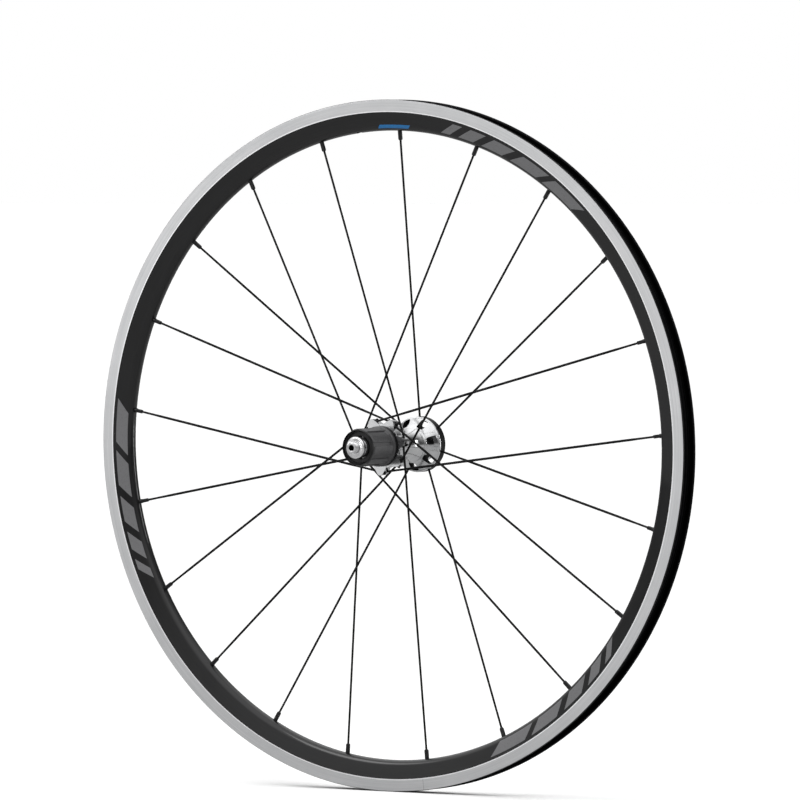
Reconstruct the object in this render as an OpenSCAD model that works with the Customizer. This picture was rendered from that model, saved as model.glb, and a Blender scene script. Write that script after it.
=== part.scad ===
// Rear road-bicycle wheel with a hollow quick-release axle and a bare freehub.
// The axle lies along Y. The drive side, with the freehub, is at -Y and +Z is up.
// The origin is the centre of the rim and of the axle.

/* [Rim] */
// Outer radius over the rim's flanges
rim_r = 317; // [300:0.5:330]
// Width over the two brake tracks
rim_w = 21.3; // [20.5:0.1:24]
// Width between the flanges, where the tyre sits
tyre_w = 17; // [15:0.1:18]
// Radial height of a brake track
track_h = 11.45; // [10:0.05:12]
// Radial depth of the rim from its flange tips to the spoke bed
rim_depth = 28.5; // [26:0.5:40]
// Radius of the rounded inner edge of the rim
rim_nose_r = 7; // [5:0.1:8]
// Thickness of the carbon fairing
fairing_t = 0.9; // [0.6:0.1:1.5]
// Diameter of the valve hole
valve_d = 6.5; // [6:0.1:8.5]

/* [Spokes] */
// Number of spokes in each of the three sets
set_n = 7; // [5:1:8]
// Angle of the first trailing drive-side spoke at the rim
first_a = 20.14; // [0:0.01:50]
// Radius of the round ends of a spoke
spoke_r = 1.0; // [0.9:0.05:1.15]
// Width of the blade of a spoke
blade_w = 2.3; // [2:0.1:2.8]
// Thickness of the blade of a spoke
blade_t = 1.0; // [0.8:0.1:1.2]
// Length of a spoke's round end before the blade
round_l = 22; // [15:1:30]
// Radius of a spoke head
head_r = 1.8; // [1.6:0.05:1.85]
// Length of a spoke head
head_l = 2.5; // [2:0.1:2.6]
// Radius of a nipple's barrel
nipple_r = 2; // [1.8:0.05:2.2]

/* [Hub shell] */
// Distance of the drive-side trailing spokes from the rim's centre plane
trailing_y = 19.1; // [19:0.1:19.5]
// Distance of the drive-side leading spokes from the rim's centre plane
leading_y = 16.1; // [15.5:0.1:16.1]
// Radius that the drive-side spokes touch
tangent_r = 23.4; // [23:0.1:24]
// Radius of the tips of the drive flange's lobes
lobe_tip_r = 27; // [26.5:0.1:28]
// Radius of the non-drive flange
bell_r = 25.7; // [25:0.1:28]
// Distance of the non-drive spoke holes from the rim's centre plane
bell_y = 43.7; // [43:0.1:44.5]
// Smallest radius of the hub's barrel
barrel_r = 12.2; // [12:0.1:14]

/* [Freehub] */
// Radius over the splines that carry the sprockets
spline_r = 17.4; // [17.3:0.05:17.5]
// Radius at the bottom of the spline grooves
groove_r = 16.2; // [16.1:0.05:16.3]
// Radius of the shoulder beside the drive flange
shoulder_r = 18.5; // [18.3:0.1:19]
// Distance of the freehub's outer end from the rim's centre plane
nose_y = 60.6; // [60.4:0.1:61]
// Radius of the thread for the sprocket lock ring
lockring_r = 15.25; // [15.2:0.05:15.3]
// Turn of the splines about the axle
spline_a = 10; // [0:1:39]

/* [Axle and bearings] */
// Distance between the locknut faces, which is the frame's drop-out spacing
old = 130; // [130:0.5:132]
// Length of the axle over its ends
axle_l = 141; // [139:0.5:143]
// Radius of the axle
axle_r = 5; // [4.9:0.05:5]
// Radius of the bore for the quick-release skewer
skewer_r = 2.65; // [2.6:0.05:2.8]
// Radius of a locknut
locknut_r = 10; // [9.5:0.1:10.2]
// Radius of a bearing ball
ball_r = 3.175; // [3:0.005:3.175]
// Number of balls in each bearing
ball_n = 9; // [7:1:9]
// Radius of the circle that the balls run on
ball_pitch_r = 9.4; // [9.4:0.05:9.5]

/* [Ratchet] */
// Number of ratchet teeth inside the freehub
teeth_n = 24; // [24:24:24]
// Radius at the tips of the ratchet teeth
tooth_tip_r = 14.9; // [14.9:0.05:15]
// Radius at the roots of the ratchet teeth
tooth_root_r = 16.1; // [16.05:0.05:16.2]

/* [Hidden] */
$fn = 96;

touch = 0.02;    // depth by which a cutter passes a face
half_w = rim_w / 2;

// Rim section: a nose circle with a straight side tangent to it on each side.
split_r = rim_r - track_h - 0.05;         // inner edge of the brake track
nose_c = rim_r - rim_depth + rim_nose_r;  // centre of the nose circle
fairing_half = half_w - 0.25;             // the fairing stands a little inside the track
side_run = split_r - nose_c;
side_a = atan2(fairing_half, side_run) + acos(rim_nose_r / norm([side_run, fairing_half]));
track_gap = 0.05;                         // line between the fairing and the brake track
hoop_nose_r = rim_nose_r - fairing_t;
cavity_nose_r = hoop_nose_r - 1;
bed_top_r = nose_c - 3.9;                 // flat inside the spoke bed
bead_r = rim_r - 6;                       // where the tyre's beads sit
well_r = bead_r - 4.8;                    // bottom of the well between the beads
well_t = 1.4;                             // thickness of the well's floor
hook_h = 0.3;                             // how far the bead hooks stand in
tyre_half = tyre_w / 2;
rim_edge = 0.6;                           // chamfer at the flange tips

// Spokes
set_a = 360 / set_n;
spoke_gap_a = set_a / 3;
nipple_top_r = nose_c - 1.2;              // where a nipple's head ends inside the rim
tangent_a = acos(tangent_r / nipple_top_r);
trailing_a = first_a;                     // seen from the drive side, pulls to the left over the hub
nondrive_a = first_a + spoke_gap_a;
leading_a = first_a + 2 * spoke_gap_a;
valve_a = first_a + 4.5 * spoke_gap_a;    // midway between two spokes, near the top
nipple_head_l = 2.2;
nipple_head_r = 2.9;
nipple_l = 14.5;
nipple_bore_l = 7;
nipple_hole_r = nipple_r + 0.35;
spoke_hole_r = spoke_r + 0.15;
head_past = 5.8;                          // from the tangent point to the start of a drive head
head_seat_r = head_r + 0.15;
bell_head_r = bell_r - 5.6;               // radius at the start of a non-drive head

// Hub shell
flange_front_y = -21.3;
flange_back_y = -13.3;
lobe_front_y = -21.8;                     // the lobes stand a little proud of the ring
ring_r = 20.6;                            // ring between the lobes
lobe_mid_a = (trailing_a + leading_a + set_a) / 2;  // each lobe holds a trailing and a leading head
lobe_root_r = 19;
lobe_root_half = 6.4;
lobe_tip_half = 1.7;
bell_front_y = 39.6;
bell_back_y = 49.4;
shell_end_y = 51;
pocket_r = 20.7;
pocket_a = nondrive_a + set_a / 2;
pocket_w = 7.4;
bore_in_r = 9.5;                          // inside of the barrel

// Bearings
nondrive_ball_y = 46;
drive_ball_y = -51;
race_r = ball_r + 0.1;
cup_r = ball_pitch_r + race_r + 1.325;
cup_in = 4.8;                             // cup reaches this far inboard of its balls
cup_out = 3;                              // and this far outboard
cup_bore_r = 7.4;
cone_r = 8.4;
cone_l_out = 9;
seal_r = 9.7;
cap_bore_r = 10.1;
cone_end_y = nondrive_ball_y + cone_l_out;
axle_end_r = axle_r - 0.05;               // ends that lie in the frame's drop-outs
relief_r = axle_r - 0.4;                  // thread relief just inside each locknut's face
relief_w = 0.7;
washer_r = 8;
washer_t = 1.4;
spacer_r = 7.6;
locknut_l = 3.6;

// Freehub
core_r = 12.9;
core_pawl_r = 14.45;
core_in_y = -14;
core_pawl_y = -29.9;
core_out_y = drive_ball_y + cup_in;
core_bore_r = 9;
driver_bore_r = 14;
driver_in_y = -22.3;
ratchet_y = -30.2;
small_ball_r = 1.5875;
small_race_r = small_ball_r + 0.07;
small_pitch_r = 13.4;
small_ball_n = 25;
row_inner_y = -32.6;
row_outer_y = -42.6;
bolt_r = 7.9;
bolt_bore_r = 5.6;

// Pawl, drawn with its tip at the top of the core
pivot = [6.8, 10.9];
heel_r = 1.7;
pawl_tip = [0.7, 15.45];
pawl_front_y = -29.4;
pawl_back_y = -23;

// --- helpers ---------------------------------------------------------------

// Turns a profile of [radius, y] points about the Y axis.
module turned() {
    rotate([-90, 0, 0]) rotate_extrude() children();
}

// Extrudes a flat X-Z shape from y0 to y1.
module across(y0, y1) {
    translate([0, y1, 0]) rotate([90, 0, 0]) linear_extrude(y1 - y0) children();
}

// Turns its children about the Y axis, from +X towards +Z.
module at_angle(a) {
    rotate([0, -a, 0]) children();
}

module ring(r_out, r_in, y0, y1) {
    turned() translate([r_in, y0]) square([r_out - r_in, y1 - y0]);
}

function unit(v) = v / norm(v);

// Stands its children along the line from p to q, with their X axis in the plane of the wheel.
module along(p, q) {
    z = unit(q - p);
    x = unit(cross([0, 1, 0], z));
    y = cross(z, x);
    multmatrix([
        [x[0], y[0], z[0], p[0]],
        [x[1], y[1], z[1], p[1]],
        [x[2], y[2], z[2], p[2]],
        [0, 0, 0, 1]
    ]) children();
}

// Ends of the spoke lines, for a spoke that meets the rim on the X axis.
function nipple_end() = [nipple_top_r, 0, 0];
function touch_point(side, y) =
    [tangent_r * cos(side * tangent_a), -y, tangent_r * sin(side * tangent_a)];
function drive_head(side, y) =
    let (t = touch_point(side, y)) t + unit(t - nipple_end()) * head_past;
function bell_line_y(r) = bell_y * (nipple_top_r - r) / (nipple_top_r - bell_r);
function bell_head() = [bell_head_r, bell_line_y(bell_head_r), 0];

module in_trailing_places() {
    for (i = [0:set_n - 1]) at_angle(trailing_a + i * set_a) children();
}

module in_leading_places() {
    for (i = [0:set_n - 1]) at_angle(leading_a + i * set_a) children();
}

module in_nondrive_places() {
    for (i = [0:set_n - 1]) at_angle(nondrive_a + i * set_a) children();
}

// --- rim -------------------------------------------------------------------

function side_y(nose_r, r) = (nose_r - cos(side_a) * (r - nose_c)) / sin(side_a);

// The part of the rim's section inside the split radius, for one wall surface.
module nose_shape(nose_r, top_r) {
    translate([nose_c, 0]) circle(r = nose_r);
    tangent = [nose_c + nose_r * cos(side_a), nose_r * sin(side_a)];
    top_y = side_y(nose_r, top_r);
    polygon([
        [top_r, -top_y], [top_r, top_y],
        [tangent[0], tangent[1]], [tangent[0], -tangent[1]]
    ]);
}

module track_shape() {
    polygon([
        [split_r + track_gap, half_w], [rim_r - rim_edge, half_w], [rim_r, half_w - rim_edge],
        [rim_r, rim_edge - half_w], [rim_r - rim_edge, -half_w], [split_r + track_gap, -half_w]
    ]);
}

// Closes a half outline with its mirror image across the rim's centre plane.
function both_halves(half) =
    concat(half, [for (i = [len(half) - 1:-1:0]) [half[i][0], -half[i][1]]]);

// Tyre channel: well, bead seats and hooks.
module channel_shape() {
    polygon(both_halves([
        [well_r, 3.6], [bead_r, 5.8], [bead_r, tyre_half],
        [bead_r + 2.8, tyre_half], [bead_r + 3.6, tyre_half - hook_h],
        [rim_r - 0.8, tyre_half - hook_h], [rim_r + 1, tyre_half + 0.9]
    ]));
}

// Closed hollow between the spoke bed and the tyre well.
module cavity_shape() {
    polygon(both_halves([
        [bed_top_r, sqrt(pow(cavity_nose_r, 2) - pow(bed_top_r - nose_c, 2))],
        [nose_c + cavity_nose_r * cos(side_a), cavity_nose_r * sin(side_a)],
        [split_r - 0.5, side_y(cavity_nose_r, split_r - 0.5)],
        [bead_r - 3.2, half_w - 1.5], [bead_r - well_t, half_w - 1.9],
        [bead_r - well_t, 6.9], [well_r - well_t, 4.2]
    ]));
}

// Holes for the nipples and the valve, as the drill leaves them.
module rim_holes() {
    in_trailing_places() along(nipple_end(), touch_point(1, trailing_y)) nipple_drill();
    in_leading_places() along(nipple_end(), touch_point(-1, leading_y)) nipple_drill();
    in_nondrive_places() along(nipple_end(), bell_head()) nipple_drill();
    at_angle(valve_a) rotate([0, 90, 0])
        translate([0, 0, nose_c - rim_nose_r - 5]) cylinder(h = 30, r = valve_d / 2);
}

module nipple_drill() {
    translate([0, 0, -0.5]) cylinder(h = 14, r = nipple_hole_r);
}

module rim_hoop() {
    color("silver") difference() {
        union() {
            turned() nose_shape(hoop_nose_r, split_r + track_gap + touch);
            turned() track_shape();
        }
        turned() channel_shape();
        turned() cavity_shape();
        rim_holes();
    }
}

module rim_fairing() {
    color([0.13, 0.13, 0.14]) difference() {
        turned() difference() {
            nose_shape(rim_nose_r, split_r);
            nose_shape(hoop_nose_r, split_r + touch);
        }
        rim_holes();
    }
}

// --- spokes and nipples ----------------------------------------------------

// A spoke from inside its nipple at p to its head, which starts at q.
module spoke(p, q) {
    start = nipple_l - nipple_bore_l;
    length = norm(q - p);
    along(p, q) {
        translate([0, 0, start]) cylinder(h = round_l, r = spoke_r);
        translate([-blade_w / 2, -blade_t / 2, start + round_l - 1])
            cube([blade_w, blade_t, length - start - 2 * round_l + 2]);
        translate([0, 0, length - round_l]) cylinder(h = round_l + head_l, r = spoke_r);
        translate([0, 0, length]) cylinder(h = head_l, r = head_r);
    }
}

module nipple() {
    difference() {
        union() {
            cylinder(h = nipple_head_l, r = nipple_head_r);
            cylinder(h = nipple_l, r = nipple_r);
        }
        translate([0, 0, nipple_l - nipple_bore_l - 0.3]) cylinder(h = nipple_bore_l + 1, r = spoke_r);
    }
}

module drive_spokes_trailing() {
    color([0.06, 0.06, 0.06]) in_trailing_places() spoke(nipple_end(), drive_head(1, trailing_y));
}

module drive_spokes_leading() {
    color([0.06, 0.06, 0.06]) in_leading_places() spoke(nipple_end(), drive_head(-1, leading_y));
}

module nondrive_spokes() {
    color([0.06, 0.06, 0.06]) in_nondrive_places() spoke(nipple_end(), bell_head());
}

module drive_nipples() {
    color([0.1, 0.1, 0.1]) {
        in_trailing_places() along(nipple_end(), touch_point(1, trailing_y)) nipple();
        in_leading_places() along(nipple_end(), touch_point(-1, leading_y)) nipple();
    }
}

module nondrive_nipples() {
    color([0.1, 0.1, 0.1]) in_nondrive_places() along(nipple_end(), bell_head()) nipple();
}

// --- hub shell -------------------------------------------------------------

module flange_lobes() {
    across(lobe_front_y, flange_back_y)
        for (i = [0:set_n - 1]) rotate(lobe_mid_a + i * set_a) polygon([
            [lobe_root_r - 4, -lobe_root_half], [lobe_root_r, -lobe_root_half],
            [lobe_tip_r - 0.7, -lobe_tip_half], [lobe_tip_r, -lobe_tip_half + 0.8],
            [lobe_tip_r, lobe_tip_half - 0.8], [lobe_tip_r - 0.7, lobe_tip_half],
            [lobe_root_r, lobe_root_half], [lobe_root_r - 4, lobe_root_half]
        ]);
}

// The barrel flares smoothly into the bell of the non-drive flange.
flare_y0 = 12;
flare_y1 = bell_front_y - 1.4;
flare_steps = 9;
function flare_r(t) = barrel_r + (bell_r - 1.2 - barrel_r) * pow(t, 2.6);

module shell_profile() {
    polygon(concat(
        [[ring_r - 1, flange_back_y], [barrel_r + 3.2, flange_back_y],
         [barrel_r + 0.9, flange_back_y + 3], [barrel_r, flange_back_y + 7]],
        [for (i = [0:flare_steps]) let (t = i / flare_steps)
            [flare_r(t), flare_y0 + (flare_y1 - flare_y0) * t]],
        [[bell_r, bell_front_y], [bell_r, bell_back_y - 1], [bell_r - 1, bell_back_y],
         [bell_r - 4.1, bell_back_y], [bell_r - 4.1, 42], [cup_r + 1.6, 40.5],
         [cup_r + 1.6, shell_end_y], [cup_r, shell_end_y],
         [cup_r, nondrive_ball_y - cup_in], [bore_in_r, nondrive_ball_y - cup_in],
         [bore_in_r, -6], [bolt_r, -8], [bolt_r, -14], [10.5, -14], [10.5, -19],
         [core_pawl_r, -19], [core_pawl_r, flange_front_y], [ring_r, flange_front_y],
         [ring_r, flange_back_y]]
    ));
}

// Keyhole pocket through the bell's face, where a spoke head goes in.
module pocket() {
    translate([pocket_r, 0, 0]) rotate([-90, 0, 0]) {
        translate([0, 0, 24]) cylinder(h = 20, r = pocket_w / 2 - 0.4);
        translate([-1.2, -pocket_w / 2, 24]) cube([3.6, pocket_w, 20]);
    }
}

module spoke_drill(p, q, bore_r, seat_r, seat_l) {
    length = norm(q - p);
    along(p, q) {
        translate([0, 0, length - 14]) cylinder(h = 16, r = bore_r);
        translate([0, 0, length - touch]) cylinder(h = seat_l, r = seat_r);
    }
}

module hub_shell() {
    color([0.83, 0.84, 0.85]) difference() {
        union() {
            turned() shell_profile();
            difference() {
                flange_lobes();
                ring(ring_r - 0.5, 0, lobe_front_y - 1, flange_back_y + 1);
            }
        }
        in_trailing_places()
            spoke_drill(nipple_end(), drive_head(1, trailing_y), spoke_hole_r, head_seat_r, 6);
        in_leading_places()
            spoke_drill(nipple_end(), drive_head(-1, leading_y), spoke_hole_r, head_seat_r, 6);
        in_nondrive_places()
            spoke_drill(nipple_end(), bell_head(), spoke_hole_r, head_seat_r, head_l + 0.2);
        for (i = [0:set_n - 1]) at_angle(pocket_a + i * set_a) pocket();
    }
}

// --- hub bearings ----------------------------------------------------------

// Profiles for a bearing whose outboard side is at +y, with its balls at y = 0.
module race_circle() {
    translate([ball_pitch_r, 0]) circle(r = race_r);
}

module cup_profile() {
    difference() {
        translate([cup_bore_r, -cup_in]) square([cup_r - cup_bore_r, cup_in + cup_out]);
        race_circle();
        translate([0, 0.4]) square([ball_pitch_r + race_r - 0.25, cup_out + 1]);
    }
}

module cone_profile() {
    difference() {
        polygon([
            [axle_r, -3], [6, -3], [6.3, 0], [cone_r, 2.2],
            [cone_r, cone_l_out - 3], [7.6, cone_l_out - 3], [7.6, cone_l_out], [axle_r, cone_l_out]
        ]);
        race_circle();
    }
}

module cap_profile() {
    polygon([
        [cap_bore_r + 1.1, cup_out], [cup_r, cup_out], [cup_r, cup_out + 1.9],
        [cap_bore_r + 1, cup_out + 1.9], [cap_bore_r, cup_out + 1.2], [cap_bore_r, cup_out + 0.6]
    ]);
}

module seal_profile() {
    polygon([
        [cone_r, cup_out + 0.35], [seal_r - 0.3, cup_out + 0.35], [seal_r, cup_out + 1],
        [seal_r - 0.2, cup_out + 2.4], [cone_r, cup_out + 2.8]
    ]);
}

module drive_side() {
    turned() translate([0, drive_ball_y]) mirror([0, 1]) children();
}

module nondrive_side() {
    turned() translate([0, nondrive_ball_y]) children();
}

module ball_ring(n, r, pitch_r, y) {
    for (i = [0:n - 1]) at_angle(i * 360 / n) translate([pitch_r, y, 0]) sphere(r = r, $fn = 48);
}

module nondrive_cup() { color("dimgray") nondrive_side() cup_profile(); }
module drive_cup() { color("dimgray") drive_side() cup_profile(); }
module nondrive_dust_cap() { color([0.15, 0.15, 0.16]) nondrive_side() cap_profile(); }
module drive_dust_cap() { color([0.15, 0.15, 0.16]) drive_side() cap_profile(); }
module nondrive_cone() { color("darkgray") nondrive_side() cone_profile(); }
module drive_cone() { color("darkgray") drive_side() cone_profile(); }
module nondrive_seal() { color([0.08, 0.08, 0.08]) nondrive_side() seal_profile(); }
module drive_seal() { color([0.08, 0.08, 0.08]) drive_side() seal_profile(); }
module drive_balls() { color("gainsboro") ball_ring(ball_n, ball_r, ball_pitch_r, drive_ball_y); }
module nondrive_balls() { color("gainsboro") ball_ring(ball_n, ball_r, ball_pitch_r, nondrive_ball_y); }

// --- axle ------------------------------------------------------------------

module hollow_axle() {
    color("gray") turned() difference() {
        polygon([
            [0, -axle_l / 2], [axle_end_r - 0.4, -axle_l / 2], [axle_end_r, 0.4 - axle_l / 2],
            [axle_end_r, -old / 2], [relief_r, -old / 2], [relief_r, relief_w - old / 2],
            [axle_r, relief_w - old / 2], [axle_r, old / 2 - relief_w],
            [relief_r, old / 2 - relief_w], [relief_r, old / 2], [axle_end_r, old / 2],
            [axle_end_r, axle_l / 2 - 0.4], [axle_end_r - 0.4, axle_l / 2], [0, axle_l / 2]
        ]);
        translate([0, -axle_l]) square([skewer_r, 2 * axle_l]);
    }
}

module locknut_profile() {
    polygon([
        [axle_r, 0], [locknut_r - 2.8, 0], [locknut_r - 2.2, 0.5], [locknut_r - 1.4, 0.5],
        [locknut_r, 1.2], [locknut_r, locknut_l - 0.8],
        [locknut_r - 1, locknut_l], [axle_r, locknut_l]
    ]);
}

module drive_locknut() {
    color("silver") turned() translate([0, -old / 2]) locknut_profile();
}

module nondrive_locknut() {
    color("silver") turned() translate([0, old / 2]) mirror([0, 1]) locknut_profile();
}

module drive_lock_washer() {
    color("dimgray") ring(washer_r, axle_r, locknut_l - old / 2, drive_ball_y - cone_l_out);
}

module nondrive_lock_washer() {
    color("dimgray") ring(washer_r, axle_r, cone_end_y, cone_end_y + washer_t);
}

module nondrive_spacer() {
    color("gray") ring(spacer_r, axle_r, cone_end_y + washer_t, old / 2 - locknut_l);
}

// --- freehub ---------------------------------------------------------------

module small_race(y) {
    turned() translate([small_pitch_r, y]) circle(r = small_race_r);
}

// Pocket that lets a pawl swing in until its tip is below the teeth.
module pawl_pocket() {
    across(pawl_front_y - 0.3, pawl_back_y + 0.3) {
        translate(pivot) circle(r = heel_r + 0.05);
        polygon([
            [-1.4, 16], [-1.4, 11.7], [0.4, 10.9], [5.6, 9.0],
            [pivot[0], pivot[1] + 0.6], [7.5, 12.8], [7.5, 16]
        ]);
    }
}

module freehub_core() {
    color("dimgray") difference() {
        turned() polygon([
            [core_bore_r, core_out_y], [core_r, core_out_y], [core_r, core_pawl_y],
            [core_pawl_r, core_pawl_y], [core_pawl_r, -19], [10.5, -19], [10.5, core_in_y],
            [bolt_r, core_in_y], [bolt_r, -24], [core_bore_r, -24]
        ]);
        small_race(row_inner_y);
        small_race(row_outer_y);
        pawl_pocket();
        rotate([0, 180, 0]) pawl_pocket();
    }
}

// Hollow bolt that holds the freehub's core on the hub shell.
module freehub_bolt() {
    color("darkgray") difference() {
        turned() polygon([
            [bolt_bore_r, -28.5], [8.8, -28.5], [8.8, -24], [bolt_r, -24], [bolt_r, -8.2],
            [bolt_bore_r, -8.2]
        ]);
        across(-29, -25.5) circle(r = 6.6, $fn = 6);
    }
}

module freehub_balls_inner() {
    color("gainsboro") ball_ring(small_ball_n, small_ball_r, small_pitch_r, row_inner_y);
}

module freehub_balls_outer() {
    color("gainsboro") ball_ring(small_ball_n, small_ball_r, small_pitch_r, row_outer_y);
}

module freehub_seal() {
    color([0.08, 0.08, 0.08]) ring(17.6, 15.2, flange_front_y - 0.6, flange_front_y);
}

// Saw teeth: each rises slowly from its tip to its root, then drops straight back.
module ratchet_shape() {
    pitch_a = 360 / teeth_n;
    polygon([for (i = [0:teeth_n - 1], end = [0, 1])
        let (a = pitch_a * (i + end) - end * 0.5, r = end == 0 ? tooth_tip_r : tooth_root_r)
        [r * cos(a), r * sin(a)]]);
}

// Nine grooves for the sprockets, one of them narrower than the rest.
groove_n = 9;
groove_w = 5.4;
narrow_w = 3.6;
module groove_shape() {
    for (i = [0:groove_n - 1]) {
        w = i == 0 ? narrow_w : groove_w;
        rotate(spline_a + i * 360 / groove_n) translate([groove_r, -w / 2]) square([4, w]);
    }
}

module freehub_body() {
    color([0.22, 0.22, 0.23]) difference() {
        turned() polygon([
            [lockring_r, -nose_y], [groove_r - 0.2, -nose_y], [groove_r + 0.1, 0.6 - nose_y],
            [groove_r + 0.1, 2.6 - nose_y], [spline_r, 3.4 - nose_y], [spline_r, -26.6],
            [shoulder_r, -26], [shoulder_r, driver_in_y - 0.5], [shoulder_r - 0.5, driver_in_y],
            [driver_bore_r - 1, driver_in_y], [driver_bore_r, ratchet_y],
            [driver_bore_r, core_out_y + 0.7], [cup_r + 0.4, core_out_y + 0.7],
            [cup_r + 0.4, drive_ball_y - cup_out], [lockring_r, drive_ball_y - cup_out]
        ]);
        across(ratchet_y, driver_in_y + 1) ratchet_shape();
        across(-nose_y + 1, -26.6) groove_shape();
        small_race(row_inner_y);
        small_race(row_outer_y);
    }
}

module pawl() {
    across(pawl_front_y, pawl_back_y) translate(pivot) circle(r = heel_r);
    across(pawl_front_y, pawl_back_y)
        polygon([pawl_tip, [6.9, 12.5], [7.6, 11.4], [6.4, 9.6], [0.9, 13.5]]);
}

// Leaf that pushes a pawl outwards from below.
module pawl_leaf() {
    across(-27, -25.4) polygon([
        [-1.1, 11.95], [0.6, 11.25], [4.4, 9.85], [4.5, 10.1], [0.7, 11.5], [-1.0, 12.2]
    ]);
}

module pawl_upper() { color("lightgray") pawl(); }
module pawl_lower() { color("lightgray") rotate([0, 180, 0]) pawl(); }
module pawl_spring_upper() { color("darkgray") pawl_leaf(); }
module pawl_spring_lower() { color("darkgray") rotate([0, 180, 0]) pawl_leaf(); }

rim_hoop();
rim_fairing();
drive_spokes_trailing();
drive_spokes_leading();
nondrive_spokes();
drive_nipples();
nondrive_nipples();
hub_shell();
nondrive_cup();
nondrive_dust_cap();
freehub_seal();
freehub_core();
freehub_bolt();
drive_cup();
drive_dust_cap();
freehub_balls_inner();
freehub_balls_outer();
pawl_spring_upper();
pawl_spring_lower();
freehub_body();
pawl_upper();
pawl_lower();
drive_balls();
nondrive_balls();
hollow_axle();
drive_cone();
nondrive_cone();
drive_seal();
nondrive_seal();
drive_lock_washer();
nondrive_lock_washer();
nondrive_spacer();
drive_locknut();
nondrive_locknut();
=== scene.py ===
import bmesh
import bpy
import math

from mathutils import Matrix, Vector


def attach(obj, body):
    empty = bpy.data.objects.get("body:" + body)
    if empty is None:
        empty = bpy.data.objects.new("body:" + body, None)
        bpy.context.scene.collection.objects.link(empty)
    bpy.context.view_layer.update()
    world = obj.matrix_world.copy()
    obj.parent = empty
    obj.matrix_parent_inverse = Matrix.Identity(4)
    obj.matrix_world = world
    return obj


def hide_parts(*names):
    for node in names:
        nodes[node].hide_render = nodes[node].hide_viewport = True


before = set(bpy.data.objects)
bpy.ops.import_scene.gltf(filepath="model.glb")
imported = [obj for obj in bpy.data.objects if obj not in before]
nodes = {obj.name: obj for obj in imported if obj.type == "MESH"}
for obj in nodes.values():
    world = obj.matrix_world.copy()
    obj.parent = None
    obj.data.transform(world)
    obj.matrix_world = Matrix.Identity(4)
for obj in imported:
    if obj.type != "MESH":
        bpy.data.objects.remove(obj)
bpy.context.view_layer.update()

MM = 0.001
TAU = math.tau

# Sizes of the CAD model, in millimetres. The axle lies along Y, with the drive side at -Y.
RIM_R, RIM_HALF = 317.0, 10.65
BEAD_R, WELL_R, TYRE_HALF = 311.0, 306.2, 8.5
SPLIT_R = 305.5                         # where the fairing ends and the brake track begins
TRACK_IN_R = SPLIT_R + 0.05
FAIRING_HALF, FAIRING_T = 10.4, 0.9
NOSE_C, NOSE_R = 295.5, 7.0             # middle of the rounded nose of the rim's section
VALVE_HOLE_R = 3.25
NIPPLE_HOLE_R = 2.35
NIPPLE_TOP_R = NOSE_C - 1.2
SPOKE_HOLE_R, HEAD_HOLE_R = 1.15, 1.95
TANGENT_R = 23.4                        # drive-side spokes leave the hub tangent to this circle
TANGENT_A = math.acos(TANGENT_R / NIPPLE_TOP_R)
TRAILING_Y, LEADING_Y = 19.1, 16.1
BELL_R, BELL_Y = 25.7, 43.7
BARREL_R = 12.2
FLARE_Y0, FLARE_Y1, FLARE_POWER = 12.0, 38.2, 2.6
FLARE_R = BELL_R - 1.2                  # where the flare meets the bell's edge
CUP_R = 14.0
PAWL_RING_R = 14.45
SHELL_Y = -21.3                         # drive-side end of the shell's lobe ring
SPLINES, SPLINE_W, NARROW_SPLINE_W = 9, 5.4, 3.6
SPLINE_R, GROOVE_R = 17.4, 16.2
RATCHET_TEETH, RATCHET_LOW_R, RATCHET_HIGH_R, RATCHET_Y = 24, 14.9, 16.1, -30.2
LOCKRING_R = 15.25
LOCKNUT_Y = 65.0                        # outer faces of the locknuts
AXLE_END_Y = 70.5
AXLE_R, AXLE_END_R, SKEWER_R = 5.0, 4.95, 2.65

# Angles round the axle, in degrees. Each set has seven spokes.
SPOKE_SET = 7
SET_A = 360 / SPOKE_SET
TRAILING_A = 20.14
NONDRIVE_A = TRAILING_A + SET_A / 3
LEADING_A = TRAILING_A + 2 * SET_A / 3
VALVE_A = TRAILING_A + 4.5 * SET_A / 3
POCKET_A = NONDRIVE_A + SET_A / 2
LOBE_A = (TRAILING_A + LEADING_A + SET_A) / 2

# Smoothness of the round parts
RIM_STEPS = 360
SHELL_STEPS = 224
AXLE_STEPS = 96


# --- mesh helpers ------------------------------------------------------------

def place(obj, body, replaced):
    """obj rides body and stands in for the CAD nodes, which it hides."""
    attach(obj, body)
    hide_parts(*replaced)


def make(name, verts, faces, mat, sharp=38.0):
    """An object from points in millimetres, smooth except at its sharp edges."""
    mesh = bpy.data.meshes.new(name)
    mesh.from_pydata([(x * MM, y * MM, z * MM) for x, y, z in verts], [], faces)
    obj = bpy.data.objects.new(name, mesh)
    bpy.context.scene.collection.objects.link(obj)
    obj.data.materials.append(mat)
    clean(obj, sharp)
    return obj


def clean(obj, sharp=38.0):
    """Joins doubled points, turns every face outwards and marks the sharp edges."""
    mesh = obj.data
    bm = bmesh.new()
    bm.from_mesh(mesh)
    bmesh.ops.remove_doubles(bm, verts=bm.verts, dist=2e-7)
    bmesh.ops.dissolve_degenerate(bm, edges=bm.edges, dist=1e-7)
    bmesh.ops.recalc_face_normals(bm, faces=bm.faces)
    bm.to_mesh(mesh)
    bm.free()
    mesh.shade_smooth()
    mesh.set_sharp_from_angle(angle=math.radians(sharp))


def weigh_normals(obj):
    """Flat faces stay flat in the shading next to small rounded edges."""
    mod = obj.modifiers.new("weighted", "WEIGHTED_NORMAL")
    mod.keep_sharp = True
    mod.weight = 50
    return obj


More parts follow.
